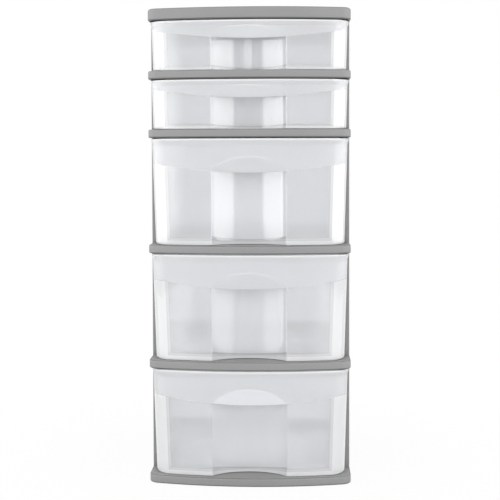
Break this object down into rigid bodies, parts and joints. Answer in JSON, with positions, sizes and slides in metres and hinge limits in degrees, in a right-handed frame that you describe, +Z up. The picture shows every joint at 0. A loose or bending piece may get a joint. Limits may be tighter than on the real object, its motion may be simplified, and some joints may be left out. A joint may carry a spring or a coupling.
{
  "type": "plastic drawer tower",
  "caption": "Free-standing drawer tower: a grey plastic frame with a bowed front and clear pull-out drawers, each with a frosted upper front and a scooped finger pull.",
  "frame": {"origin": "on the floor, under the middle of the tower", "axes": "+Z up, the drawers open towards -Y, +X to the right seen from the front"},
  "size_m": [0.32, 0.37, 0.75],
  "materials": {
    "grey_frame": "fine moulded satin",
    "clear_drawer": "clear, frosted along the upper front"
  },
  "bodies": {
    "tower": {"base_frame": "grey_frame", "shelf_frame_4": "grey_frame", "shelf_frame_3": "grey_frame", "shelf_frame_2": "grey_frame", "shelf_frame_1": "grey_frame", "side_panel_left_5": "grey_frame", "side_panel_right_5": "grey_frame", "side_panel_left_4": "grey_frame", "side_panel_right_4": "grey_frame", "side_panel_left_3": "grey_frame", "side_panel_right_3": "grey_frame", "side_panel_left_2": "grey_frame", "side_panel_right_2": "grey_frame", "side_panel_left_1": "grey_frame", "side_panel_right_1": "grey_frame", "top_cover": "grey_frame"},
    "drawer_1": {"drawer_1": "clear_drawer"},
    "drawer_2": {"drawer_2": "clear_drawer"},
    "drawer_3": {"drawer_3": "clear_drawer"},
    "drawer_4": {"drawer_4": "clear_drawer"},
    "drawer_5": {"drawer_5": "clear_drawer"}
  },
  "joints": [
    {"name": "drawer_1_slide", "type": "slide", "parent": "tower", "child": "drawer_1", "axis": [0, -1, 0], "range_m": [0, 0.2575]},
    {"name": "drawer_2_slide", "type": "slide", "parent": "tower", "child": "drawer_2", "axis": [0, -1, 0], "range_m": [0, 0.2575]},
    {"name": "drawer_3_slide", "type": "slide", "parent": "tower", "child": "drawer_3", "axis": [0, -1, 0], "range_m": [0, 0.2575]},
    {"name": "drawer_4_slide", "type": "slide", "parent": "tower", "child": "drawer_4", "axis": [0, -1, 0], "range_m": [0, 0.2575]},
    {"name": "drawer_5_slide", "type": "slide", "parent": "tower", "child": "drawer_5", "axis": [0, -1, 0], "range_m": [0, 0.2575]}
  ]
}
